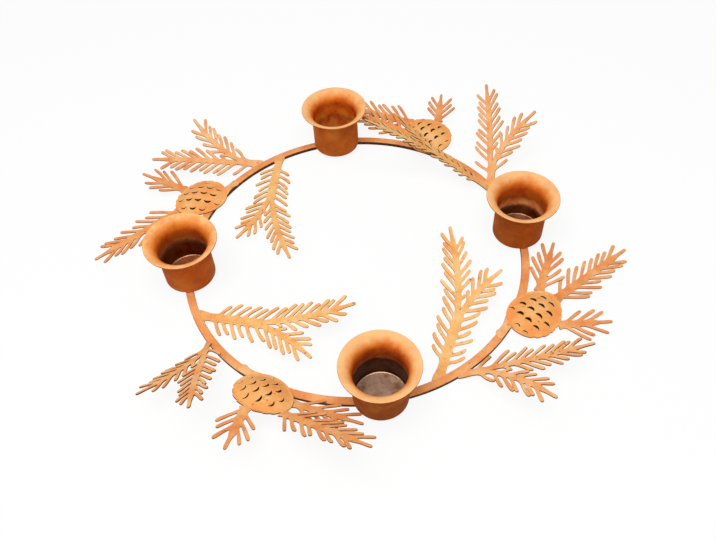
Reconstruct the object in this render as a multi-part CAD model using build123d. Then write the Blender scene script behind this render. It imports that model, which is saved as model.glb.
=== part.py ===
from build123d import *
from math import cos, hypot, pi, radians, sin
import os

# Advent candle holder of rusted sheet steel: a flat ring carries four flared candle cups, and between
# the cups forked pine sprigs and pine cones with their twigs, all welded to the ring.
# Millimetres, +Z up. The ring stands on z = 0 and its centre is the origin.

# Ring, a flat bar bent to a circle
ring_radius = 152.5
ring_width = 7.0
ring_height = 4.0

# Candle cups, drawn from sheet with a flared mouth
candle_diameter = 39.0
candle_clearance = 0.75
cup_wall = 1.0
cup_height = 45.0
cup_corner = 3.0
cup_inset = 2.5
rim_diameter = 64.0
flare_height = 13.0
flare_turn = 80
flare_steps = 4
corner_steps = 1

# Stems of the sprigs and of the cones' twigs, cut from thin sheet, at the foot and at the tip
sheet = 1.2
sprig_stem = 7.2
sprig_stem_tip = 4.4
twig_stem = 6.0
twig_stem_tip = 4.6
foot_flare = 1.5
foot_depth = 2.8
foot_rise = 5.0

# Needles: their width, the shorter ones near a stem's foot, and the shift between its two sides
needle_root = 2.9
needle_tip = 2.0
needle_start = 0.55
needle_ramp = 0.6
needle_stagger = 0.15
needle_end_gap = 0.6
fork_bare = 2.0

# Pitch, length, length at the tip and lean of the needles, on the sprigs and on the cones' twigs
sprig_pitch = 7.8
sprig_needle = 14.4
sprig_tip_needle = 13.6
sprig_lean = 46
twig_pitch = 9.2
twig_needle = 17.8
twig_tip_needle = 15.0
twig_lean = 40

# Inner sprig, flat on its sheet: along the ring, then away from the ring's edge
inner_fork = (40.0, 45.0)
inner_long_tip = (62.5, 107.0)
inner_short_tip = (78.5, 62.5)

# Outer sprig, flat on its sheet
outer_fork = (15.0, 14.0)
outer_long_tip = (73.5, 54.0)
outer_short_tip = (25.0, 64.0)

# Each sprig was set by hand: degrees along the ring past its cup, swing in its own plane,
# lift about the ring's edge, and twist about its outward line
inner_set = {
    "right": (23.5, -10, 33, 6),
    "back": (24, 5, 2, 0),
    "left": (19, -1, 12, 0),
    "front": (19, -4, 17, 0),
}
outer_set = {
    "right": (25, 5, 33, 7),
    "back": (32, 0, 23, -3),
    "left": (30, -2, 11, 30),
    "front": (26, -3, 23, 5),
}

# Pine cones, pressed to a shallow dome with a scalloped flange and slit like scales
cone_past_cup = {"right": 56.5, "back": 56.5, "left": 57, "front": 56.5}
cone_offset = 16.0
cone_hinge = 5.75  # a tilted cone's plane leaves the ring's top this far inside the ring's middle
cone_turn = 73.5
cone_length = 52.0
cone_width = 43.5
cone_taper = 0.12
cone_dome = 5.5
cone_points = 20
dome_shares = (1.0, 0.7, 0.3)
flange_width = 2.4
scallop_depth = 0.9
scale_rows = 6.9
scale_pitch = 9.6
scale_radius = 3.1
scale_slit = 1.4
scale_bend = 75
scale_margin = 5.4
stalk_length = 34.0

# Tilt of each cone about its side on the ring, set by hand
cone_tilt = {"right": 8, "back": 0, "left": 24, "front": 0}

# Twigs on each cone: length, and the place of the root round the cone's rim
twig_lengths = {"near": 43.0, "far": 75.0, "side": 31.0}
twig_roots = {"near": 33, "far": -14, "side": -84}

# Swing of each twig from its cone's line and lift from its cone's plane, set by hand, and whether it
# butts on the flange (1) or lies under it (0)
twig_set = {
    "right": {"near": (10, 2, 1), "far": (15, -3.9, 0), "side": (-56, -9, 1)},
    "back": {"near": (21, 0, 1), "far": (-9, -1.6, 0), "side": (-67, 12, 1)},
    "left": {"near": (22, 3, 0), "far": (-1, 18, 1), "side": (-61, -2, 1)},
    "front": {"near": (21, 0.5, 1), "far": (-10, -1.6, 0), "side": (-43, -3, 1)},
}

quarters = {"right": 0, "back": 90, "left": 180, "front": 270}
up = Vector(0, 0, 1)


def heading(angle):
    return Vector(cos(radians(angle)), sin(radians(angle)), 0)


def ring_section():
    return Circle(ring_radius + ring_width / 2) - Circle(ring_radius - ring_width / 2)


def cup_side(radius, floor, corner, reach):
    """Half profile of one side of the sheet, from the floor's middle up to the rim."""
    points = [(0, floor)]
    for step in range(corner_steps + 1):
        turn = radians(90 * step / corner_steps)
        points.append((radius - corner + corner * sin(turn), floor + corner - corner * cos(turn)))
    for step in range(flare_steps + 1):
        turn = radians(flare_turn * step / flare_steps)
        out = reach * (1 - cos(turn)) / (1 - cos(radians(flare_turn)))
        rise = flare_height * sin(turn) / sin(radians(flare_turn))
        points.append((radius + out, cup_height - flare_height + rise))
    return points


def make_cup():
    bore = candle_diameter / 2 + candle_clearance
    body = bore + cup_wall
    reach = rim_diameter / 2 - body
    outside = cup_side(body, 0, cup_corner, reach)
    inside = cup_side(bore, cup_wall, cup_corner - cup_wall, reach)
    profile = Plane.XZ * make_face(Polyline(*outside, *reversed(inside), close=True))
    return revolve(profile, Axis.Z)


def along(path, share):
    """Point and direction at a share of the way along a stem that bends once."""
    start, bend, end = path
    point = start * (1 - share) ** 2 + bend * 2 * share * (1 - share) + end * share**2
    return point, ((bend - start) * (1 - share) + (end - bend) * share).normalized()


def stem_edge(path, widths, share, side, extra=0):
    point, ahead = along(path, share)
    width = widths[0] + (widths[1] - widths[0]) * share
    return point + Vector(-ahead.Y, ahead.X) * (side * (width / 2 + extra))


def needle(path, widths, share, side, half_root, reach, lean):
    """Four corners of one needle, from its rear root round its blunt tip."""
    ahead = along(path, share)[1]
    across = Vector(-ahead.Y, ahead.X) * side
    line = ahead * cos(radians(lean)) + across * sin(radians(lean))
    breadth = (ahead * sin(radians(lean)) - across * cos(radians(lean))) * (needle_tip / 2)
    young = min(1, needle_start + share / needle_ramp)
    end = stem_edge(path, widths, share, side) + line * (reach * young)
    rear = stem_edge(path, widths, share - half_root, side)
    front = stem_edge(path, widths, share + half_root, side)
    return [rear, end - breadth, end + breadth, front]


def twig(path, widths, needles, bare, flare):
    """A stem with slanted needles on both sides and one at its tip, flat in XY.

    bare gives the stretch of each side that has no needles, in millimetres from the start."""
    pitch, reach, tip_reach, lean = needles
    length = sum((b - a).length for a, b in zip(path, path[1:]))
    half_root = needle_root / sin(radians(lean)) / 2 / length
    count = round(length / pitch)
    edges = {}
    for side in (1, -1):
        edge = [stem_edge(path, widths, 0, side, flare), stem_edge(path, widths, foot_rise / length, side)]
        for place in range(1, count + 1):
            share = (place + needle_stagger * side) / (count + needle_end_gap)
            in_bare = bare[side][0] < share * length < bare[side][1]
            if (share - half_root) * length > foot_rise and not in_bare:
                length_here = reach + (tip_reach - reach) * share
                edge += needle(path, widths, share, side, half_root, length_here, lean)
        edges[side] = edge
    end, ahead = along(path, 1)
    breadth = Vector(-ahead.Y, ahead.X) * (needle_tip / 2)
    tip = [end + ahead * tip_reach + breadth, end + ahead * tip_reach - breadth]
    return make_face(Polyline(*edges[1], *tip, *reversed(edges[-1]), close=True))


def forked_sprig(fork, long_tip, short_tip, short_side):
    """Long stem from the ring through the fork to its tip, and a shorter branch from the fork."""
    widths = (sprig_stem, sprig_stem_tip)
    needles = (sprig_pitch, sprig_needle, sprig_tip_needle, sprig_lean)
    fork, long_tip, short_tip = Vector(*fork), Vector(*long_tip), Vector(*short_tip)
    start = fork.normalized() * -foot_depth
    stem, rest = (fork - start).length, (long_tip - fork).length
    share = stem / (stem + rest)
    bend = (fork - start * (1 - share) ** 2 - long_tip * share**2) / (2 * share * (1 - share))
    crotch = fork_bare * sprig_pitch
    long_bare = {short_side: (stem - sprig_pitch, stem + crotch), -short_side: (0, 0)}
    long_stem = twig((start, bend, long_tip), widths, needles, long_bare, foot_flare)
    short_bare = {short_side: (0, 0), -short_side: (0, crotch)}
    branch = (fork, (fork + short_tip) / 2, short_tip)
    return long_stem + twig(branch, widths, needles, short_bare, 0)


def set_sprig(outline, side, past_cup, swing, lift, twist):
    """Stands a flat sprig on the ring's edge (side 1 is outside) and copes its foot to the ring."""
    radial = heading(past_cup)
    away = radial * side
    raised = away * cos(radians(lift)) + up * sin(radians(lift))
    square = up * cos(radians(lift)) - away * sin(radians(lift))
    tangent = heading(past_cup + 90) * cos(radians(twist)) + square * sin(radians(twist))
    edge = radial * (ring_radius + side * ring_width / 2) + up * ring_height
    seat = Plane(origin=edge, x_dir=tangent, z_dir=tangent.cross(raised))
    blade = extrude(Rot(0, 0, swing) * outline, amount=sheet, dir=(0, 0, side))
    under_ring = 2 * foot_depth
    return seat * blade - Pos(0, 0, -under_ring) * extrude(ring_section(), amount=ring_height + under_ring)


def cone_point(turn, share):
    """Point of the egg-shaped outline about the cone's middle, narrower towards its tip on +X."""
    width = cone_width * (1 - cone_taper * cos(turn))
    return Vector(share * cone_length / 2 * cos(turn), share * width / 2 * sin(turn))


def cone_outline(share, scallop=0):
    """Outline with every second corner drawn in by the scallop."""
    corners = 2 * cone_points
    drawn_in = share - 2 * scallop / cone_width
    turns = [2 * pi * place / corners for place in range(corners)]
    points = [cone_point(turn, drawn_in if place % 2 else share) for place, turn in enumerate(turns)]
    return make_face(Polyline(*points, close=True))


def dome(size, base):
    """Solid under the domed skin, in flat facets between outlines that shrink as they rise."""
    turns = [2 * pi * place / cone_points for place in range(cone_points)]
    layers = []
    for share in dome_shares:
        height = up * (base + cone_dome * (1 - share**2))
        layers.append([cone_point(turn, size * share) + height for turn in turns])
    faces = [Face(Wire.make_polygon(layer)) for layer in (layers[0], layers[-1])]
    for low, high in zip(layers, layers[1:]):
        for place in range(cone_points):
            after = (place + 1) % cone_points
            faces.append(Face(Wire.make_polygon([low[place], low[after], high[after], high[place]])))
    return Solid(Shell(faces))


def scale_slits():
    """Staggered crescents whose round side faces the cone's tip."""
    bends = [radians(scale_bend * step / 2) for step in range(-2, 3)]
    round_side = [(scale_radius * cos(a), scale_radius * sin(a)) for a in bends]
    hollow = [((scale_radius - scale_slit) * cos(a), scale_radius * sin(a)) for a in reversed(bends[1:-1])]
    crescent = make_face(Polyline(*round_side, *hollow, close=True))
    rows = int(cone_length / scale_rows / 2)
    columns = int(cone_width / scale_pitch)
    slits = []
    for row in range(-rows, rows + 1):
        for column in range(-columns, columns + 1):
            x = row * scale_rows
            y = column * scale_pitch / 2
            reach = hypot(x / (cone_length / 2 - scale_margin), y / (cone_width / 2 - scale_margin))
            if (row + column) % 2 == 0 and reach < 1:
                slits.append(Pos(x - scale_radius / 2, y) * crescent)
    return slits


def make_cone():
    size = 1 - 2 * flange_width / cone_width
    skin = extrude(cone_outline(1, scallop_depth), amount=sheet) + dome(size, sheet)
    hollow = dome(size - 2 * sheet / cone_width, 0)
    depth = cone_dome + 2 * sheet
    return skin - hollow - [extrude(slit, amount=depth) for slit in scale_slits()]


def cone_seat(past_cup, tilt):
    """Frame of a cone that is tilted up about its side on the ring, with the cone's tip along +X."""
    radial = heading(past_cup)
    raised = radial * cos(radians(tilt)) + up * sin(radians(tilt))
    square = up * cos(radians(tilt)) - radial * sin(radians(tilt))
    edge = radial * (ring_radius - cone_hinge) + up * ring_height
    middle = edge + raised * (cone_hinge + cone_offset)
    return Plane(origin=middle, x_dir=raised, z_dir=square) * Rot(0, 0, cone_turn)


def make_stalk(past_cup):
    """Tongue of sheet laid along the ring, from under the cone's middle to behind its rim."""
    start = heading(past_cup - stalk_length / ring_radius * 180 / pi)
    far_off = 2 * ring_radius
    wedge = make_face(Polyline((0, 0, 0), start * far_off, heading(past_cup) * far_off, close=True))
    return Pos(0, 0, ring_height) * extrude(ring_section() & wedge, amount=sheet)


def make_cone_twig(kind, swing, lift, level):
    """A straight twig in the cone's own frame, welded to the cone's rim."""
    needles = (twig_pitch, twig_needle, twig_tip_needle, twig_lean)
    start, end = Vector(-foot_depth, 0), Vector(twig_lengths[kind], 0)
    widths = (twig_stem, twig_stem_tip)
    outline = twig((start, (start + end) / 2, end), widths, needles, {1: (0, 0), -1: (0, 0)}, 0)
    ahead = heading(swing) * cos(radians(lift)) + up * sin(radians(lift))
    across = heading(swing + 90)
    root = cone_point(radians(twig_roots[kind]), 1)
    seat = Plane(origin=root + up * (level * sheet), x_dir=ahead, z_dir=ahead.cross(across))
    blade = seat * extrude(outline, amount=sheet, dir=(0, 0, -1))
    return blade - extrude(cone_outline(1), amount=cone_dome)


os.makedirs("parts", exist_ok=True)
cup = make_cup()
cup_seat = Pos(ring_radius - cup_inset, 0, ring_height)
cone = make_cone()
inner_outline = forked_sprig(inner_fork, inner_long_tip, inner_short_tip, -1)
outer_outline = forked_sprig(outer_fork, outer_long_tip, outer_short_tip, 1)

pieces = {"ring_bar": extrude(ring_section(), amount=ring_height)}
for quarter, turn in quarters.items():
    placed = Rot(0, 0, turn)
    past_cup = cone_past_cup[quarter]
    seat = cone_seat(past_cup, cone_tilt[quarter])
    pieces[f"candle_cup_{quarter}"] = placed * cup_seat * cup
    pieces[f"inner_sprig_{quarter}"] = placed * set_sprig(inner_outline, -1, *inner_set[quarter])
    pieces[f"outer_sprig_{quarter}"] = placed * set_sprig(outer_outline, 1, *outer_set[quarter])
    pieces[f"pine_cone_{quarter}"] = placed * (seat * cone + make_stalk(past_cup))
    for kind, setting in twig_set[quarter].items():
        pieces[f"{kind}_twig_{quarter}"] = placed * (seat * make_cone_twig(kind, *setting))

for name, piece in pieces.items():
    export_step(piece, f"parts/{name}.step")
    print(name, len(piece.solids()), "solid", round(piece.volume), "mm3")
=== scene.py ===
import bmesh
import bpy
import math
import random
from mathutils import Matrix, Vector


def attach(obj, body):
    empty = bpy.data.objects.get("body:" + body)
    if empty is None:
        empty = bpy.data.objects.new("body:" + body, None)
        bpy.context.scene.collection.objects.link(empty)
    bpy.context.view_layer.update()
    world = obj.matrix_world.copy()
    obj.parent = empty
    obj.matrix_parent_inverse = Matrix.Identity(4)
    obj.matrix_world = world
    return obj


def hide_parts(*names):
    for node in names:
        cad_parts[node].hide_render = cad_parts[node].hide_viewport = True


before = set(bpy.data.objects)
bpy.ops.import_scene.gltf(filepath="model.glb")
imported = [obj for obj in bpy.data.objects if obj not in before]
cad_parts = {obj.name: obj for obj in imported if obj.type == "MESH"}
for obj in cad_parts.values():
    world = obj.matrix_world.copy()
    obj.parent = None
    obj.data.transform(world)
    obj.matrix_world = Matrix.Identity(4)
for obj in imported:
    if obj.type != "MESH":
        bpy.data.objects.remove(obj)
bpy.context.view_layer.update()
scene = bpy.context.scene
scene.view_settings.view_transform = "Standard"
mm = 0.001
up = Vector((0, 0, 1))
quarters = {"right": 0, "back": 90, "left": 180, "front": 270}  # degrees round the ring
print("frame loaded:", len(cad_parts), "nodes")


def heading(angle):
    return Vector((math.cos(math.radians(angle)), math.sin(math.radians(angle)), 0))


def leftOf(ahead):
    return Vector((-ahead.y, ahead.x, 0))


def lifted(outward, angle):  # outward raised by this angle, and the direction square to it
    rise = math.radians(angle)
    return outward * math.cos(rise) + up * math.sin(rise), up * math.cos(rise) - outward * math.sin(rise)


def turnBy(angle):
    return Matrix.Rotation(math.radians(angle), 4, "Z")


def seatMatrix(origin, xDir, zDir):  # a piece's own frame, in millimetres
    turned = Matrix((xDir, zDir.cross(xDir), zDir)).transposed().to_4x4()
    return Matrix.Translation(origin) @ turned


def between(span, share):
    return span[0] + (span[1] - span[0]) * share


def hexLinear(code):  # sRGB hex to the linear colour that shaders take
    parts = [int(code[at:at + 2], 16) / 255 for at in (1, 3, 5)]
    return [c / 12.92 if c <= 0.04045 else ((c + 0.055) / 1.055) ** 2.4 for c in parts] + [1]


def addNode(tree, kind, inputs=None, stops=None, **settings):
    node = tree.nodes.new(kind)
    for key, value in settings.items():
        setattr(node, key, value)
    for key, value in (inputs or {}).items():
        if isinstance(value, bpy.types.NodeSocket):
            tree.links.new(value, node.inputs[key])
        else:
            node.inputs[key].default_value = value
    for at, (place, code) in enumerate(stops or []):
        ramp = node.color_ramp.elements
        stop = ramp[at] if at < 2 else ramp.new(place)
        stop.position = place
        stop.color = hexLinear(code)
    return node


def newMaterial(name):
    material = bpy.data.materials.new(name)
    material.use_nodes = True
    tree = material.node_tree
    shader = tree.nodes["Principled BSDF"]
    coords = addNode(tree, "ShaderNodeTexCoord").outputs["Object"]
    return material, tree, shader, coords


def perMetre(sizeMm):  # texture scale for a pattern of this size
    return 1000 / sizeMm


def threeTones(dark, middle, light):
    return [(0.3, dark), (0.5, middle), (0.7, light)]


# Mild steel left to rust, then lacquered: matt orange with cloudy paler bloom, brown flecks and a fine grain
def rustedSteel(name, look):
    material, tree, shader, coords = newMaterial(name)
    cloud = addNode(tree, "ShaderNodeTexNoise", {
        "Vector": coords, "Scale": perMetre(look["cloudMm"]), "Detail": 4, "Roughness": 0.6})
    tone = addNode(tree, "ShaderNodeValToRGB", {"Fac": cloud.outputs["Fac"]}, stops=look["clouds"])
    grain = addNode(tree, "ShaderNodeTexNoise", {
        "Vector": coords, "Scale": perMetre(look["grainMm"]), "Detail": 3, "Roughness": 0.7})
    grainTone = addNode(tree, "ShaderNodeValToRGB", {"Fac": grain.outputs["Fac"]}, stops=look["grains"])
    body = addNode(tree, "ShaderNodeMix", {
        "Factor": look["grainShare"], "A": tone.outputs["Color"], "B": grainTone.outputs["Color"]},
        data_type="RGBA", blend_type="MULTIPLY")
    patch = addNode(tree, "ShaderNodeTexNoise", {
        "Vector": coords, "Scale": perMetre(look["patchMm"]), "Detail": 3, "Roughness": 0.65})
    patchMask = addNode(tree, "ShaderNodeMapRange", {
        "Value": patch.outputs["Fac"], "From Min": look["patchEdge"][0], "From Max": look["patchEdge"][1],
        "To Max": look["patchy"]})
    stained = addNode(tree, "ShaderNodeMix", {
        "Factor": patchMask.outputs["Result"], "A": body.outputs["Result"], "B": hexLinear(look["patch"])},
        data_type="RGBA")
    fleck = addNode(tree, "ShaderNodeTexNoise", {
        "Vector": coords, "Scale": perMetre(look["fleckMm"]), "Detail": 2})
    fleckMask = addNode(tree, "ShaderNodeValToRGB", {"Fac": fleck.outputs["Fac"]}, stops=look["fleckEdge"])
    flecked = addNode(tree, "ShaderNodeMix", {
        "Factor": fleckMask.outputs["Color"], "A": stained.outputs["Result"], "B": hexLinear(look["fleck"])},
        data_type="RGBA")
    tree.links.new(flecked.outputs["Result"], shader.inputs["Base Color"])
    rough = addNode(tree, "ShaderNodeMapRange", {
        "Value": grain.outputs["Fac"], "To Min": look["rough"][0], "To Max": look["rough"][1]})
    tree.links.new(rough.outputs["Result"], shader.inputs["Roughness"])
    bump = addNode(tree, "ShaderNodeBump", {
        "Height": grain.outputs["Fac"], "Strength": look["bump"], "Distance": look["bumpMm"] * mm})
    tree.links.new(bump.outputs["Normal"], shader.inputs["Normal"])
    shader.inputs["Specular IOR Level"].default_value = look["shine"]
    return material


# real rust has a grain of about 0.3 mm, too fine to show at this size, so it is drawn at 1.6 mm
sheetLook = dict(cloudMm=14, clouds=threeTones("#f6a260", "#febc7a", "#ffd298"),
                 grainMm=1.6, grains=[(0.3, "#ecdacc"), (0.7, "#ffffff")], grainShare=0.6,
                 patchMm=34, patch="#dd7a3c", patchEdge=(0.52, 0.72), patchy=0.6,
                 fleckMm=3.2, fleck="#b86a34", fleckEdge=[(0.66, "#000000"), (0.74, "#ffffff")],
                 rough=(0.62, 0.9), bump=0.35, bumpMm=0.2, shine=0.3)
rustedSheet = rustedSteel("rusted lacquered steel sheet", sheetLook)
# thin rust under clear lacquer is lighter and yellower
paleLook = dict(sheetLook, clouds=threeTones("#f8aa5e", "#ffc67a", "#ffd998"), patch="#ee9a50")
paleSheet = rustedSteel("rusted steel sheet under clear lacquer", paleLook)
# thicker rust is a shade darker and redder
twigLook = dict(sheetLook, clouds=threeTones("#ee9450", "#f8aa66", "#ffc486"), patch="#d87236")
rustedTwig = rustedSteel("darker rusted steel sheet", twigLook)
# pressed sheet rusts more evenly, to a warm orange in broader clouds
coneLook = dict(sheetLook, cloudMm=18, clouds=threeTones("#ff9e52", "#ffb668", "#ffca84"), patch="#ee8c46",
                patchy=0.4)
rustedCone = rustedSteel("rusted lacquered pressed steel", coneLook)
# bar stock shows long, slow changes of tone
barLook = dict(sheetLook, cloudMm=22, clouds=threeTones("#ea8e4c", "#faa864", "#ffc284"), patchMm=50)
rustedBar = rustedSteel("rusted lacquered steel bar", barLook)
# sheared edges are brown, and painted darker still as shade, so that a thin dark line is drawn round each
# shape
edgeAndShadeLook = dict(sheetLook, patchy=0, cloudMm=9, clouds=threeTones("#6e4426", "#8c5a34", "#ae7244"))
cutEdgeAndShade = rustedSteel("sheared steel edge under lacquer with painted shade", edgeAndShadeLook)
# punched edges are painted nearly black, a painted shade for the shadow seen through each slit, so that each
# slit reads as a dark crescent
slitShadeLook = dict(sheetLook, patchy=0, cloudMm=4, clouds=threeTones("#2a1408", "#3c1c0b", "#5a2c10"))
slitShade = rustedSteel("punched edge painted dark as the slits' shade", slitShadeLook)
# the bar's upright sides are painted dark brown, a painted shade for the sides that stand in shadow
sideShadeLook = dict(sheetLook, patchy=0, cloudMm=12, clouds=threeTones("#3a1e0e", "#4e2a12", "#6a3a1a"))
barSideShade = rustedSteel("rusted bar side painted dark as shade", sideShadeLook)


# Drawn steel inside a cup: rust runs down from the mouth and gives way to bare, dull steel near the floor
def cupInside(name, look):
    material, tree, shader, coords = newMaterial(name)
    height = addNode(tree, "ShaderNodeSeparateXYZ", {"Vector": coords}).outputs["Z"]
    stain = addNode(tree, "ShaderNodeTexNoise", {
        "Vector": coords, "Scale": perMetre(look["stainMm"]), "Detail": 4})
    ragged = addNode(tree, "ShaderNodeMath", {
        0: stain.outputs["Fac"], 1: look["ragged"] * mm, 2: height}, operation="MULTIPLY_ADD")
    level = addNode(tree, "ShaderNodeMapRange", {
        "Value": ragged.outputs[0], "From Min": look["low"] * mm, "From Max": look["high"] * mm})
    level = level.outputs["Result"]
    tone = addNode(tree, "ShaderNodeValToRGB", {"Fac": level}, stops=look["tones"])
    blotch = addNode(tree, "ShaderNodeTexNoise", {
        "Vector": coords, "Scale": perMetre(look["blotchMm"]), "Detail": 5, "Roughness": 0.65})
    blotchTone = addNode(tree, "ShaderNodeValToRGB", {"Fac": blotch.outputs["Fac"]}, stops=look["blotches"])
    worn = addNode(tree, "ShaderNodeMapRange", {
        "Value": level, "From Min": look["blotchTo"][0], "From Max": look["blotchTo"][1],
        "To Min": 1.0, "To Max": look["lipBlotch"]})
    tone = addNode(tree, "ShaderNodeMix", {
        "Factor": worn.outputs["Result"], "A": tone.outputs["Color"], "B": blotchTone.outputs["Color"]},
        data_type="RGBA", blend_type="MULTIPLY")
    tree.links.new(tone.outputs["Result"], shader.inputs["Base Color"])
    rustRough, steelRough = look["rough"]
    if look["bareTo"] is None:  # all rust or all steel
        shader.inputs["Metallic"].default_value = look["bare"]
        shader.inputs["Roughness"].default_value = between(look["rough"], look["bare"])
    else:
        below, above = look["bareEdge"]
        bare = addNode(tree, "ShaderNodeMapRange", {
            "Value": level, "From Min": look["bareTo"] - below, "From Max": look["bareTo"] + above,
            "To Min": 1.0, "To Max": 0.0})
        tree.links.new(bare.outputs["Result"], shader.inputs["Metallic"])
        rough = addNode(tree, "ShaderNodeMapRange", {
            "Value": bare.outputs["Result"], "To Min": rustRough, "To Max": steelRough})
        tree.links.new(rough.outputs["Result"], shader.inputs["Roughness"])
    grain = addNode(tree, "ShaderNodeTexNoise", {
        "Vector": coords, "Scale": perMetre(look["grainMm"]), "Detail": 3})
    bump = addNode(tree, "ShaderNodeBump", {
        "Height": grain.outputs["Fac"], "Strength": look["bump"], "Distance": look["bumpMm"] * mm})
    tree.links.new(bump.outputs["Normal"], shader.inputs["Normal"])
    shader.inputs["Specular IOR Level"].default_value = look["shine"]
    return material


# the grain is drawn coarser than it is here too; tones and places run from the floor, 0, to the lip, 1
insideLook = dict(stainMm=7, ragged=7, low=6, high=53, grainMm=1.4, bump=0.2, bumpMm=0.2, shine=0.2,
                  rough=(0.8, 0.38), bareEdge=(0.12, 0.01), rustLine=0.4, lineEdge=0.04,
                  blotchMm=16, blotches=[(0.35, "#d8925e"), (0.55, "#ffffff")], blotchTo=(0.7, 0.95),
                  lipBlotch=0.25,
                  # the mouth's rust grows paler up to the lip, partly as a painted highlight on the nearly
                  # level flare
                  mouth=[(0.74, "#d4660e"), (0.87, "#f4862a"), (0.95, "#ffb066"), (0.99, "#ffc484")])
floorLook = dict(insideLook, bareTo=None, bare=1, blotchMm=8, blotches=[(0.34, "#c4a58e"), (0.56, "#ffffff")])
cupLook = dict(sheetLook, cloudMm=18, shine=0.15, patch="#e08a3a")
# each cup has its own tones, lighter at the back and left, darker at the front: the outside's three tones,
# how far up the inside is bare, its tones from the floor up, how softly the line above the bare steel fades,
# and how much further out the pale lip, partly a painted highlight, starts
eachCup = dict(right=dict(outside=("#ac500f", "#c06114", "#d6721f"), bareTo=0.33, floor="#a08068",
                          steel="#8a5c38", line="#ffb468", fade=0.2, wall="#b85c10", lip=-0.02),
               back=dict(outside=("#c05c18", "#d66e1e", "#ec842c"), bareTo=None, floor="#d08a48",
                         steel="#d08330", line="#d08330", fade=0.12, wall="#e6881e", lip=-0.01),
               left=dict(outside=("#be5414", "#d2661c", "#e87a2a"), bareTo=0.52, floor="#a87c58",
                         steel="#8a5430", line="#b4682e", fade=0.12, wall="#b85612", lip=0.025),
               front=dict(outside=("#9a440c", "#ae5612", "#c2661c"), bareTo=0.5, floor="#b0947e",
                          steel="#5a3820", line="#b8662c", fade=0.12, wall="#b04e0e", lip=-0.02))
cupFinish = {}
for quarter, cupOwn in eachCup.items():
    outside = dict(cupLook, clouds=threeTones(*cupOwn["outside"]))
    line = cupOwn["bareTo"] or insideLook["rustLine"]
    rise = [(line - insideLook["lineEdge"], cupOwn["steel"]), (line + insideLook["lineEdge"], cupOwn["line"]),
            (line + cupOwn["fade"], cupOwn["wall"])]
    mouth = [(place + cupOwn["lip"], code) for place, code in insideLook["mouth"]]
    inside = dict(insideLook, bareTo=cupOwn["bareTo"], bare=0, tones=rise + mouth)
    floor = dict(floorLook, tones=[(0.0, cupOwn["floor"]), (0.5, cupOwn["steel"])])
    cupFinish[quarter] = [rustedSteel(f"rusted lacquered spun steel {quarter}", outside),
                          cupInside(f"drawn steel stained with rust {quarter}", inside),
                          cupInside(f"bare drawn steel {quarter}", floor)]
print("materials made")


def makePiece(bm, name, place, nodes, materials):
    bm.transform(Matrix.Scale(mm, 4) @ place)
    for face in bm.faces:
        face.smooth = True
    mesh = bpy.data.meshes.new(name)
    bm.to_mesh(mesh)
    bm.free()
    for material in materials:
        mesh.materials.append(material)
    piece = bpy.data.objects.new(name, mesh)
    scene.collection.objects.link(piece)
    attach(piece, "root")
    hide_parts(*nodes)
    return piece


def addModifier(piece, kind, **settings):
    modifier = piece.modifiers.new(kind.title(), kind)
    for key, value in settings.items():
        setattr(modifier, key, value)


def settle(piece):  # the modifiers' result becomes the piece's own mesh
    made = bpy.data.meshes.new_from_object(piece.evaluated_get(bpy.context.evaluated_depsgraph_get()))
    piece.modifiers.clear()
    old = piece.data
    made.name = old.name
    piece.data = made
    bpy.data.meshes.remove(old)


def vertsIn(geom):
    return [item for item in geom if isinstance(item, bmesh.types.BMVert)]


def spinRound(bm, steps, close):  # a full turn, with points nearer than close made one
    bmesh.ops.spin(bm, geom=bm.verts[:] + bm.edges[:], axis=up, angle=math.tau, steps=steps, use_merge=True)
    bmesh.ops.remove_doubles(bm, verts=bm.verts, dist=close)


def faceTowards(bm, facing):  # one open sheet, all its faces turned one way
    bmesh.ops.recalc_face_normals(bm, faces=bm.faces)
    if sum(face.normal.dot(facing) * face.calc_area() for face in bm.faces) < 0:
        bmesh.ops.reverse_faces(bm, faces=bm.faces)


# the ring, a flat bar bent round and welded
ringBar = dict(radius=152.5, width=7.0, height=4.0, round=0.6, roundSteps=3, steps=160, close=0.001)


def makeRing():
    bm = bmesh.new()
    bmesh.ops.create_grid(bm, x_segments=1, y_segments=1, size=0.5)
    bmesh.ops.scale(bm, vec=(ringBar["width"], ringBar["height"], 1), verts=bm.verts)
    bmesh.ops.bevel(bm, geom=bm.verts, affect="VERTICES", offset=ringBar["round"],
                    segments=ringBar["roundSteps"], profile=0.5, material=-1)
    bmesh.ops.delete(bm, geom=bm.faces, context="FACES_ONLY")
    bmesh.ops.rotate(bm, matrix=Matrix.Rotation(math.pi / 2, 3, "X"), verts=bm.verts)
    bmesh.ops.translate(bm, vec=(ringBar["radius"], 0, ringBar["height"] / 2), verts=bm.verts)
    spinRound(bm, ringBar["steps"], ringBar["close"])
    bmesh.ops.recalc_face_normals(bm, faces=bm.faces)
    # upright faces take the dark painted shade, the top and bottom the rust
    for face in bm.faces:
        face.material_index = 1 if abs(face.normal.z) < 0.5 else 0  # the bar's two sides
    makePiece(bm, "ringBar", Matrix(), ["ring_bar"], [rustedBar, barSideShade])


makeRing()
print("ring made")

# candle cups, spun from sheet; inset is how far each stands inside the ring's middle line
candleCup = dict(body=22.5, wall=1.0, height=45.0, corner=2.2, cornerSteps=5, rim=32.0, flare=11.0,
                 flareSteps=14, inset=2.5, steps=96, close=0.001, lipRound=0.3, lipAngle=50, floorEdge=0.6)


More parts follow.
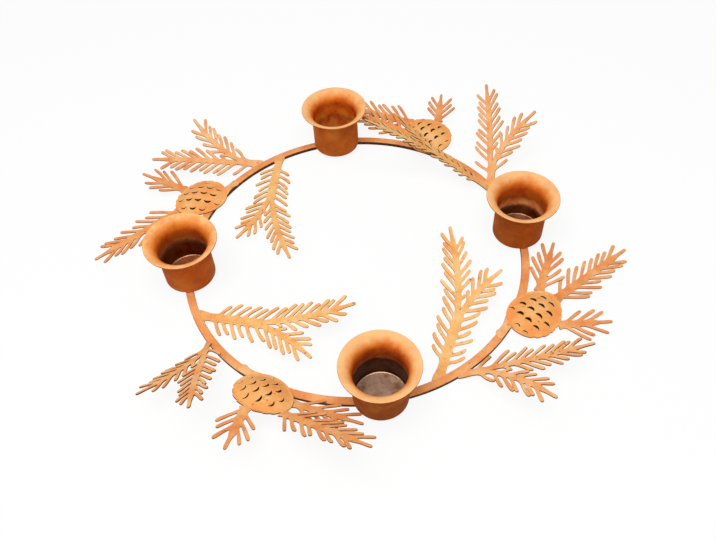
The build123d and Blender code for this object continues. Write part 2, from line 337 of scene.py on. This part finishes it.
def makeCup(quarter, turn):
    bm = bmesh.new()
    body = candleCup["body"]
    flareTurn = 2 * math.atan2(candleCup["rim"] - body, candleCup["flare"])
    radius = candleCup["flare"] / math.sin(flareTurn)
    straight = candleCup["height"] - candleCup["flare"]
    middle = bm.verts.new((0, 0, 0))
    corner = bm.verts.new((body, 0, 0))
    mouth = bm.verts.new((body, 0, straight))
    bm.edges.new((middle, corner))
    bm.edges.new((corner, mouth))
    bmesh.ops.spin(bm, geom=[mouth], cent=(body + radius, 0, straight), axis=(0, 1, 0), angle=flareTurn,
                   steps=candleCup["flareSteps"])
    bmesh.ops.bevel(bm, geom=[corner], affect="VERTICES", offset=candleCup["corner"],
                    segments=candleCup["cornerSteps"], profile=0.5, material=-1)
    spinRound(bm, candleCup["steps"], candleCup["close"])
    faceTowards(bm, -up)
    stand = Matrix.Translation((ringBar["radius"] - candleCup["inset"], 0, ringBar["height"]))
    cup = makePiece(bm, f"candleCup_{quarter}", turnBy(turn) @ stand, [f"candle_cup_{quarter}"],
                    cupFinish[quarter])
    addModifier(cup, "SOLIDIFY", thickness=candleCup["wall"] * mm, offset=-1, material_offset=1)
    addModifier(cup, "BEVEL", width=candleCup["lipRound"] * mm, segments=2, limit_method="ANGLE",
                angle_limit=math.radians(candleCup["lipAngle"]))
    settle(cup)
    floorTop = (ringBar["height"] + candleCup["wall"] + candleCup["floorEdge"]) * mm
    for face in cup.data.polygons:
        if face.material_index == 1 and face.center.z < floorTop:
            face.material_index = 2


for quarter, turn in quarters.items():
    makeCup(quarter, turn)
print("candle cups made")

# pine needles and stems, cut from sheet; rounding makes up for what the smoothing takes off a needle's end
sheetCut = dict(thickness=1.2, edgeRound=0.14, edgeAngle=60, smooth=2)
needleCut = dict(root=2.7, broad=3.2, tip=1.9, neck=3.6, neckShare=0.36, broadFrom=0.62, point=1.8,
                 rounding=0.7, sway=4, plump=(0.9, 1.06), reach=(0.93, 1), stagger=0.15, jitter=0.12,
                 endGap=2.0, lastNeck=3, crotch=6.0, crotchShare=0.9, shortest=3)
beats = (1.0, 0.86, 1.02, 0.78, 0.98, 0.9, 1.02, 0.84)  # how the needles' lengths vary along a stem
beatShift = 3  # the needles on the left are this many beats ahead


def along(path, share):
    start, bend, end = path
    point = start * (1 - share) ** 2 + bend * 2 * share * (1 - share) + end * share ** 2
    return point, ((bend - start) * (1 - share) + (end - bend) * share).normalized()


def stemSide(path, stem, share, side):
    point, ahead = along(path, share)
    return point + leftOf(ahead) * side * between(stem, share) / 2


def grow(bm, pair, spots):  # extrudes one edge of the sheet to two new spots
    fresh = set(vertsIn(bmesh.ops.extrude_edge_only(bm, edges=[bm.edges.get(pair)])["geom"]))
    twins = []
    for old, spot in zip(pair, spots):
        twin = next(e.other_vert(old) for e in old.link_edges if e.other_vert(old) in fresh)
        twin.co = spot
        twins.append(twin)
    return tuple(twins)


def growNeedle(bm, pair, ahead, side, reach, lean, needles, dice):
    across = leftOf(ahead) * side
    root = (pair[0].co + pair[1].co) / 2
    sway = dice.uniform(-needleCut["sway"], needleCut["sway"])
    curl = dice.uniform(*needles["curl"])
    lift = dice.uniform(*needles["lift"])
    plump = dice.uniform(*needleCut["plump"])
    reach = reach * dice.uniform(*needleCut["reach"]) + needleCut["rounding"]
    stations = ((min(needleCut["neck"], reach * needleCut["neckShare"]), needleCut["root"], 1),
                (reach * needleCut["broadFrom"], needleCut["broad"], 0),
                (reach - needleCut["point"], needleCut["broad"], -0.5),
                (reach, needleCut["tip"], -0.8))
    for out, width, opened in stations:  # a needle leaves its stem wide and curls forwards
        angle = math.radians(lean + sway + curl * opened)
        line = ahead * math.cos(angle) + across * math.sin(angle)
        breadth = (ahead * math.sin(angle) - across * math.cos(angle)) * width * plump / 2
        spot = root + line * out + up * lift * (out / reach) ** 2
        pair = grow(bm, pair, (spot - breadth, spot + breadth))


def growStem(bm, pair, path, needles, foot, crotch, dice, trim=1):
    length = sum((b - a).length for a, b in zip(path, path[1:]))
    stem = needles["stem"]
    count = max(1, round((length - foot) / needles["pitch"]))
    step = (length - foot - needleCut["endGap"]) / count
    roots = []
    for place in range(count):
        shares, ends = {}, {}
        for side in (1, -1):
            at = place + 0.5 + needleCut["stagger"] * side + dice.uniform(-1, 1) * needleCut["jitter"]
            shares[side] = (foot + at * step) / length
            lean = math.radians(between(needles["lean"], shares[side]))
            ends[side] = needleCut["root"] / math.sin(lean) / 2 / length
        rear = grow(bm, pair, [stemSide(path, stem, shares[side] - ends[side], side) for side in (1, -1)])
        pair = grow(bm, rear, [stemSide(path, stem, shares[side] + ends[side], side) for side in (1, -1)])
        for at, side in enumerate((1, -1)):
            roots.append((side, shares[side], (rear[at], pair[at]), place))
    pair = grow(bm, pair, [stemSide(path, stem, 1, side) for side in (1, -1)])
    last = pair
    if "tip" in needles:  # one more needle goes straight on
        end, ahead = along(path, 1)
        across = leftOf(ahead)
        for out, width in ((needleCut["lastNeck"], needleCut["root"]),
                           (needles["tip"] - needleCut["point"], needleCut["broad"]),
                           (needles["tip"], needleCut["tip"])):
            pair = grow(bm, pair, [end + ahead * out + across * side * width / 2 for side in (1, -1)])
    for side, share, root, place in roots:
        beat = beats[(place + (beatShift if side > 0 else 0)) % len(beats)]
        reach = between(needles["reach"], share) * beat * trim
        if side == crotch:  # needles between two branches stop short of each other
            reach = min(reach, needleCut["crotchShare"] * (share * length - needleCut["crotch"]))
        if reach > needleCut["shortest"]:
            lean = between(needles["lean"], share)
            growNeedle(bm, root, along(path, share)[1], side, reach, lean, needles, dice)
    return last


def layRows(bm, rows):  # a strip of sheet through rows of two spots
    pair = tuple(bm.verts.new(spot) for spot in rows[0])
    bm.edges.new(pair)
    for spots in rows[1:]:
        pair = grow(bm, pair, spots)
    return pair


# each row of a foot: how far out it lies, and how far it spreads past the stem on either side
sprigWeld = dict(edge=((-2.2, -0.6), (-0.4, 1.2), (0.4, 3.0)), neck=((3.2, 1.0), (5.2, 0.3)))
twigWeld = dict(rootSpread=1.6, neck=((0.4, 1.4), (3.0, 0.3)))


def sprigFoot(bm, path, width, flare):  # spreads along the ring's edge, where it is welded on
    ahead = along(path, 0)[1]
    across = leftOf(ahead)
    reach = width / 2 / ahead.y
    rows = [[Vector((-side * (reach + spread * flare), out, 0)) for side in (1, -1)]
            for out, spread in sprigWeld["edge"]]
    for out, spread in sprigWeld["neck"]:
        rows.append([path[0] + ahead * out / ahead.y + across * side * (width / 2 + spread * flare)
                     for side in (1, -1)])
    return layRows(bm, rows)


def twigFoot(bm, path, stem, depth):
    point, ahead = along(path, 0)
    across = leftOf(ahead)
    rows = [[point + ahead * out + across * side * (stem[0] / 2 + spread) for side in (1, -1)]
            for out, spread in ((-depth, twigWeld["rootSpread"]), *twigWeld["neck"])]
    return layRows(bm, rows)


# stem, reach and lean run from a stem's foot to its end, and needles vary within lift and curl
stemNeedles = dict(stem=(6.7, 8.0), pitch=8.2, reach=(13.5, 19.0), lean=(62, 50), lift=(-0.3, 0.6),
                   curl=(3, 10))
branchNeedles = dict(stem=(5.4, 4.2), pitch=8.1, reach=(19.5, 13.5), tip=13.2, lean=(47, 32),
                     lift=(-0.3, 0.6), curl=(0, 6), bare=1.5, bow=0.4)
# a setting is degrees past the cup, swing in the sheet's plane, lift off the floor and twist about its line
innerSprig = dict(fork=(40.0, 45.0), longTip=(62.5, 107.0), shortTip=(78.5, 62.5), shortSide=-1, side=-1,
                  bare=12.0, trim=dict(right=0.62), finish=paleSheet,
                  setting=dict(right=(23.5, -10, 33, 6), back=(24, 5, 2, 0), left=(19, -1, 12, 0),
                               front=(19, -4, 17, 0)))
outerSprig = dict(fork=(15.0, 14.0), longTip=(73.5, 54.0), shortTip=(25.0, 64.0), shortSide=1, side=1,
                  bare=9.0, trim={}, finish=rustedSheet,
                  setting=dict(right=(25, 5, 33, 7), back=(32, 0, 23, -3), left=(30, -2, 11, 30),
                               front=(26, -3, 23, 5)))
# a twisted sprig's foot is narrower, so that it stays above the floor: flatAt degrees leave it no flare
twistedFoot = dict(flatAt=40, least=0.6)


def makeSheet(bm, name, place, node, finish):
    piece = makePiece(bm, name, place, [node], [finish, cutEdgeAndShade])
    addModifier(piece, "SUBSURF", levels=sheetCut["smooth"], render_levels=sheetCut["smooth"])
    # the sheet's rims take the brown edge darkened with painted shade
    addModifier(piece, "SOLIDIFY", thickness=sheetCut["thickness"] * mm, offset=-1, material_offset_rim=1)
    addModifier(piece, "BEVEL", width=sheetCut["edgeRound"] * mm, segments=1, limit_method="ANGLE",
                angle_limit=math.radians(sheetCut["edgeAngle"]), use_clamp_overlap=False)
    addModifier(piece, "WEIGHTED_NORMAL", keep_sharp=True)


def makeSprig(kind, sprig, quarter, turn):
    dice = random.Random(f"{kind} {quarter}")
    past, swing, lift, twist = sprig["setting"][quarter]
    fork, longTip, shortTip = (Vector((*sprig[key], 0)) for key in ("fork", "longTip", "shortTip"))
    shortSide = sprig["shortSide"]
    trim = sprig["trim"].get(quarter, 1)  # the sprig that stands nearly on edge has shorter needles
    bm = bmesh.new()
    path = (Vector(), fork / 2, fork)
    flare = 1 - abs(twist) / twistedFoot["flatAt"]
    narrowed = twistedFoot["least"] + (1 - twistedFoot["least"]) * flare
    pair = sprigFoot(bm, path, stemNeedles["stem"][0] * narrowed, flare)
    pair = growStem(bm, pair, path, stemNeedles, sprig["bare"], 0, dice, trim)
    leftSpot = pair[0].co.copy()
    crotch = vertsIn(bmesh.ops.bisect_edges(bm, edges=[bm.edges.get(pair)], cuts=1)["geom_split"])[0]
    ends = sorted((edge.other_vert(crotch) for edge in crotch.link_edges),
                  key=lambda end: (end.co - leftSpot).length)
    halves = {1: (ends[0], crotch), -1: (crotch, ends[1])}  # the stem's end divides into two branches
    for side, tip in ((shortSide, shortTip), (-shortSide, longTip)):
        start = (halves[side][0].co + halves[side][1].co) / 2
        onwards = start + along(path, 1)[1] * (tip - start).length / 2
        branch = (start, ((start + tip) / 2).lerp(onwards, branchNeedles["bow"]), tip)
        growStem(bm, halves[side], branch, branchNeedles, branchNeedles["bare"], -side, dice, trim)
    bmesh.ops.rotate(bm, matrix=turnBy(swing).to_3x3(), verts=bm.verts)
    side = sprig["side"]
    radial = heading(past)
    raised, square = lifted(radial * side, lift)
    tangent = heading(past + 90) * math.cos(math.radians(twist)) + square * math.sin(math.radians(twist))
    edge = radial * (ringBar["radius"] + side * ringBar["width"] / 2) + up * ringBar["height"]
    seat = turnBy(turn) @ seatMatrix(edge, tangent, tangent.cross(raised))
    faceTowards(bm, up * -side)
    makeSheet(bm, f"{kind}Sprig_{quarter}", seat, f"{kind}_sprig_{quarter}", sprig["finish"])


for quarter, turn in quarters.items():
    makeSprig("inner", innerSprig, quarter, turn)
    makeSprig("outer", outerSprig, quarter, turn)
print("sprigs made")

# pine cones and their twigs
pineCone = dict(past=dict(right=56.5, back=56.5, left=57, front=56.5),  # degrees past the cup
                tilt=dict(right=8, back=0, left=24, front=0),  # how far the outer rim is raised
                spin=dict(right=0, back=-15, left=0, front=0),  # a turn in the cone's own plane
                turn=73.5, offset=16.0, length=52.0, width=43.5, taper=0.12, dome=5.5, domePower=1.2,
                flange=2.4, rings=32, steps=132, close=0.0001, scallop=0.9, teeth=20, toothed=(-150, 10),
                rimBand=0.1, sharp=40)
coneScale = dict(rows=3, columns=4, start=(-1.2, 3.6), row=9.06, pitch=9.12, shift=-3.26, skew=-9.5,
                 within=0.86, shrink=0.2, radius=3.6, slit=2.4, bend=72, arcSteps=10, cutDepth=3, press=0.4,
                 burr=3.2,
                 opened=dict(right=0.5, back=0.74, left=0.5, front=0.52),  # how far each was punched open
                 turned=dict(right=0, back=58, left=0, front=0))  # one blank went into the punch at an angle
# a setting is swing from the cone's line, lift, and 1 for a twig level with the rim or 0 for one beneath it;
# weld is how deep the foot of one beneath, and of one level, reaches into the cone
coneTwig = dict(needles=dict(stem=(7.2, 5.4), pitch=9.2, reach=(22.0, 15.6), tip=15.0, lean=(44, 26),
                             lift=(0.3, 1.0), curl=(0, 6)),
                length=dict(near=43.0, far=75.0, side=31.0), root=dict(near=33, far=-14, side=-84),
                bare=3.2, weld=(2.8, 0.6), sink=0.03, spinDraw=12,
                setting=dict(right=dict(near=(10, 2, 1), far=(15, -3.9, 0), side=(-56, -9, 1)),
                             back=dict(near=(21, 0, 1), far=(-9, -1.6, 0), side=(-67, 12, 1)),
                             left=dict(near=(22, 3, 0), far=(-1, 18, 1), side=(-61, -2, 1)),
                             front=dict(near=(21, 0.5, 1), far=(-10, -1.6, 0), side=(-43, -3, 1))))


def coneSeat(quarter):
    radial = heading(pineCone["past"][quarter])
    raised, square = lifted(radial, pineCone["tilt"][quarter])
    edge = radial * (ringBar["radius"] + pineCone["offset"] - pineCone["width"] / 2) + up * ringBar["height"]
    return seatMatrix(edge + raised * pineCone["width"] / 2, raised, square) @ turnBy(pineCone["turn"])


def conePoint(turn, share):
    width = pineCone["width"] * (1 - pineCone["taper"] * math.cos(turn))
    return Vector((share * pineCone["length"] / 2 * math.cos(turn), share * width / 2 * math.sin(turn), 0))


def makeTwig(kind, quarter, turn):
    dice = random.Random(f"{kind} twig {quarter}")
    swing, lift, level = coneTwig["setting"][quarter][kind]
    start, end = Vector((0, 0, 0)), Vector((coneTwig["length"][kind], 0, 0))
    path = (start, (start + end) / 2, end)
    bm = bmesh.new()
    drawn = abs(pineCone["spin"][quarter]) / coneTwig["spinDraw"]  # how far a turned cone's rim draws back
    pair = twigFoot(bm, path, coneTwig["needles"]["stem"], drawn + coneTwig["weld"][level])
    growStem(bm, pair, path, coneTwig["needles"], coneTwig["bare"], 0, dice)
    faceTowards(bm, up)
    ahead = lifted(heading(swing), lift)[0]
    across = heading(swing + 90)
    root = conePoint(math.radians(coneTwig["root"][kind]), 1)
    root += up * (level * sheetCut["thickness"] - coneTwig["sink"])
    place = turnBy(turn) @ coneSeat(quarter) @ seatMatrix(root, ahead, ahead.cross(across))
    makeSheet(bm, f"{kind}Twig_{quarter}", place, f"{kind}_twig_{quarter}", rustedTwig)


def coneShare(spot, turned):  # 0 in the middle of the cone, 1 on its rim
    spot = turnBy(turned) @ spot
    wide = pineCone["width"] * (1 - pineCone["taper"] * 2 * spot.x / pineCone["length"])
    return math.hypot(2 * spot.x / pineCone["length"], 2 * spot.y / wide)


def domeRise(share):
    crown = 1 - 2 * pineCone["flange"] / pineCone["width"]
    return pineCone["dome"] * max(0, 1 - (share / crown) ** 2) ** pineCone["domePower"]


def coneScales(opened, turned):  # slanting rows of arcs: each one's middle, its radius and its slit's width
    scales = []
    for row in range(-coneScale["rows"], coneScale["rows"] + 1):
        for column in range(-coneScale["columns"], coneScale["columns"] + 1):
            spot = Vector((row * coneScale["row"], column * coneScale["pitch"] + row * coneScale["shift"], 0))
            spot = turnBy(coneScale["skew"]) @ spot + Vector((*coneScale["start"], 0))
            share = coneShare(spot, turned)
            if share < coneScale["within"]:
                radius = coneScale["radius"] * (1 - coneScale["shrink"] * share ** 2)
                deep = sheetCut["thickness"] + min(coneScale["burr"], domeRise(share))
                slit = min(coneScale["slit"], opened * deep)
                scales.append((spot - Vector((radius - slit / 2, 0, 0)), radius, slit))
    return scales


def scaleRise(spot, scales):  # the tongue behind each slit is pressed in a little
    rise = 0
    span = math.sin(math.radians(coneScale["bend"]))
    for middle, radius, slit in scales:
        x, y, _ = spot - middle
        tongue = (radius - slit) * math.sqrt(max(0.01, 1 - (y / radius) ** 2))
        if 0 < x < tongue + 0.05 and abs(y) < radius * span:  # its edge is taken in too
            rise -= coneScale["press"] * (x / tongue) ** 2 * (1 - (y / radius / span) ** 2)
    return rise


def slitCutter(scales):  # one crescent prism for each scale
    slits = bmesh.new()
    single = bpy.data.meshes.new("crescent")
    depth = up * coneScale["cutDepth"]
    for middle, radius, slit in scales:
        bm = bmesh.new()
        bm.verts.new(heading(-coneScale["bend"]) * radius)
        bmesh.ops.spin(bm, geom=bm.verts[:], axis=up, angle=math.radians(2 * coneScale["bend"]),
                       steps=coneScale["arcSteps"])
        inner = bmesh.ops.extrude_edge_only(bm, edges=bm.edges[:])["geom"]
        bmesh.ops.scale(bm, vec=(1 - slit / radius, 1, 1), verts=vertsIn(inner))
        bmesh.ops.translate(bm, vec=middle - depth, verts=bm.verts)
        tall = bmesh.ops.extrude_face_region(bm, geom=bm.faces[:])["geom"]
        bmesh.ops.translate(bm, vec=depth * 2, verts=vertsIn(tall))
        bmesh.ops.recalc_face_normals(bm, faces=bm.faces)
        bm.to_mesh(single)
        bm.free()
        slits.from_mesh(single)
    # the slit walls take the near-black painted shade
    for face in slits.faces:
        face.material_index = 2
    bpy.data.meshes.remove(single)
    return slits


# each row: degrees from the cone's line, the tongue's inner and outer radius, and its height above the ring
coneNeck = dict(rows=((-13.4, 149.6, 155.4, 0.1), (-12.6, 148.7, 155.8, 0.5), (-12.0, 147.7, 156.0, 0.7),
                      (-11.4, 147.7, 156.0, 0.8), (-10.7, 148.9, 156.0, 0.9), (-8.6, 149.0, 156.0, 1.2),
                      (-7.4, 148.6, 157.4, 1.2), (-6.4, 147.8, 160.5, 1.2), (-5.2, 147.4, 165.0, 1.2),
                      (-3.6, 147.8, 169.0, 1.2)), leave=-8.6, join=-6.0, sink=0.08)


def makeNeck(quarter, turn):
    bm = bmesh.new()
    seat = coneSeat(quarter)
    flat = seat.inverted()
    rows = []
    for back, inner, outer, height in coneNeck["rows"]:
        around = heading(pineCone["past"][quarter] + back)
        blend = min(1, max(0, (back - coneNeck["leave"]) / (coneNeck["join"] - coneNeck["leave"])))
        spots = []
        for radius in (outer, inner):
            spot = around * radius + up * (ringBar["height"] + height)
            onCone = seat @ Vector((*(flat @ spot).xy, sheetCut["thickness"] - coneNeck["sink"]))
            spots.append(spot.lerp(onCone, blend))
        rows.append(spots)
    layRows(bm, rows)
    faceTowards(bm, up)
    makeSheet(bm, f"coneNeck_{quarter}", turnBy(turn), f"pine_cone_{quarter}", rustedSheet)


def conePlate(scales, turned):  # the egg-shaped blank with its slits, still flat
    bm = bmesh.new()
    last = None
    for step in range(pineCone["rings"] + 1):
        vert = bm.verts.new((step / pineCone["rings"], 0, 0))
        if last:
            bm.edges.new((last, vert))
        last = vert
    spinRound(bm, pineCone["steps"], pineCone["close"])
    first, last = (math.radians(end) for end in pineCone["toothed"])
    band = pineCone["rimBand"]
    for vert in bm.verts:
        at, share = math.atan2(vert.co.y, vert.co.x), vert.co.xy.length
        notch = pineCone["scallop"] * 2 / pineCone["width"] if first < at < last else 0
        tooth = (at * pineCone["teeth"] / math.tau) % 1
        spot = conePoint(at, share - notch * tooth ** 2 * max(0, share - (1 - band)) / band)
        vert.co = turnBy(-turned) @ spot
    faceTowards(bm, up)
    meshes = [bpy.data.meshes.new(name) for name in ("conePlate", "slits")]
    bm.to_mesh(meshes[0])
    bm.free()
    slits = slitCutter(scales)
    slits.to_mesh(meshes[1])
    slits.free()
    plate, cutter = (bpy.data.objects.new(mesh.name, mesh) for mesh in meshes)
    for item in (plate, cutter):
        scene.collection.objects.link(item)
        for material in (rustedCone, cutEdgeAndShade, slitShade):
            item.data.materials.append(material)
    addModifier(plate, "SOLIDIFY", thickness=sheetCut["thickness"], offset=-1, material_offset_rim=1)
    addModifier(plate, "BOOLEAN", object=cutter, operation="DIFFERENCE", solver="EXACT")
    settle(plate)
    bm = bmesh.new()
    bm.from_mesh(plate.data)
    for item in (plate, cutter):
        mesh = item.data
        bpy.data.objects.remove(item)
        bpy.data.meshes.remove(mesh)
    return bm


def makeCone(quarter, turn):
    turned = coneScale["turned"][quarter]
    scales = coneScales(coneScale["opened"][quarter], turned)
    bm = conePlate(scales, turned)
    slitFaces = [face for face in bm.faces if face.material_index == 2]
    burrs = {vert for face in slitFaces for vert in face.verts if vert.co.z < -0.1}  # all but the top edge
    for vert in bm.verts:
        spot = Vector((*vert.co.xy, 0))
        dome = domeRise(coneShare(spot, turned))
        vert.co.z += sheetCut["thickness"] + dome + (scaleRise(spot, scales) if dome > 0 else 0)
        if vert in burrs:  # the punch draws the sheet down round each slit
            vert.co.z -= min(coneScale["burr"], dome)
    place = turnBy(turn) @ coneSeat(quarter) @ turnBy(pineCone["spin"][quarter] + turned)
    cone = makePiece(bm, f"pineCone_{quarter}", place, [f"pine_cone_{quarter}"],
                     [rustedCone, cutEdgeAndShade, slitShade])
    cone.data.set_sharp_from_angle(angle=math.radians(pineCone["sharp"]))


for quarter, turn in quarters.items():
    for kind in ("near", "far", "side"):
        makeTwig(kind, quarter, turn)
    makeCone(quarter, turn)
    makeNeck(quarter, turn)
print("cones and twigs made")

# camera at the photograph's angle
view = dict(target=(-0.88, -21.2, 4.0), distance=673.6, elevation=51.215, azimuth=-4.721, roll=-3.81,
            focalPixels=753.5, imageWidth=716, sensor=36, near=0.01)


def makeCamera():
    camera = bpy.data.cameras.new("camera")
    camera.sensor_width = view["sensor"]
    camera.sensor_fit = "HORIZONTAL"
    camera.lens = view["focalPixels"] * camera.sensor_width / view["imageWidth"]
    camera.clip_start = view["near"]
    rise, side = math.radians(view["elevation"]), math.radians(view["azimuth"])
    back = Vector((math.sin(side) * math.cos(rise), -math.cos(side) * math.cos(rise), math.sin(rise)))
    right = (-back).cross(up).normalized()
    turned = seatMatrix((Vector(view["target"]) + back * view["distance"]) * mm, right, back)
    body = bpy.data.objects.new("camera", camera)
    body.matrix_world = turned @ turnBy(view["roll"])
    scene.collection.objects.link(body)
    scene.camera = body


makeCamera()

# floor, lamp and world; white is how much of the floor's look is plain white, the rest takes the shadow
studio = dict(floorSize=3.0, floor="#c9c6c2", floorRough=0.9, floorShine=0.1, white=0.88,
              world="#ffffff", worldLight=0.35, keyPower=14, keySize=1.0, keySpot=(-0.15, -0.35, 1.3))


def seenDirectly(tree):  # 1 for the camera, reflections and glass, 0 for the light that falls on the piece
    path = addNode(tree, "ShaderNodeLightPath")
    seen = addNode(tree, "ShaderNodeMath", {
        0: path.outputs["Is Camera Ray"], 1: path.outputs["Is Glossy Ray"]}, operation="MAXIMUM")
    seen = addNode(tree, "ShaderNodeMath", {
        0: seen.outputs[0], 1: path.outputs["Is Transmission Ray"]}, operation="MAXIMUM")
    return seen.outputs[0]


def makeFloor():
    bm = bmesh.new()
    bmesh.ops.create_grid(bm, x_segments=1, y_segments=1, size=studio["floorSize"])
    mesh = bpy.data.meshes.new("floor")
    bm.to_mesh(mesh)
    bm.free()
    material, tree, shader, _ = newMaterial("pale matt floor")  # painted board, without gloss
    shader.inputs["Roughness"].default_value = studio["floorRough"]
    shader.inputs["Specular IOR Level"].default_value = studio["floorShine"]
    seen = seenDirectly(tree)
    tone = addNode(tree, "ShaderNodeMix", {
        "Factor": seen, "A": hexLinear(studio["floor"]), "B": hexLinear("#ffffff")}, data_type="RGBA")
    tree.links.new(tone.outputs["Result"], shader.inputs["Base Color"])
    share = addNode(tree, "ShaderNodeMath", {0: seen, 1: studio["white"]}, operation="MULTIPLY")
    glow = addNode(tree, "ShaderNodeEmission", {"Color": hexLinear("#ffffff"), "Strength": 1.0})
    mixed = addNode(tree, "ShaderNodeMixShader", {
        0: share.outputs[0], 1: shader.outputs[0], 2: glow.outputs[0]})
    tree.links.new(mixed.outputs[0], tree.nodes["Material Output"].inputs["Surface"])
    mesh.materials.append(material)
    floor = bpy.data.objects.new("floor", mesh)
    scene.collection.objects.link(floor)


def makeLight():
    world = bpy.data.worlds.new("studio")
    scene.world = world
    world.use_nodes = True
    tree = world.node_tree
    back = tree.nodes["Background"]
    back.inputs["Color"].default_value = hexLinear(studio["world"])
    level = addNode(tree, "ShaderNodeMapRange", {
        "Value": seenDirectly(tree), "To Min": studio["worldLight"], "To Max": 1.0})
    tree.links.new(level.outputs["Result"], back.inputs["Strength"])
    lamp = bpy.data.lights.new("softbox", "AREA")
    lamp.energy = studio["keyPower"]
    lamp.size = studio["keySize"]
    key = bpy.data.objects.new("softbox", lamp)
    key.location = studio["keySpot"]
    key.rotation_euler = (-Vector(studio["keySpot"])).to_track_quat("-Z", "Y").to_euler()
    scene.collection.objects.link(key)


makeFloor()
makeLight()
print("camera and studio made")

bpy.context.view_layer.update()
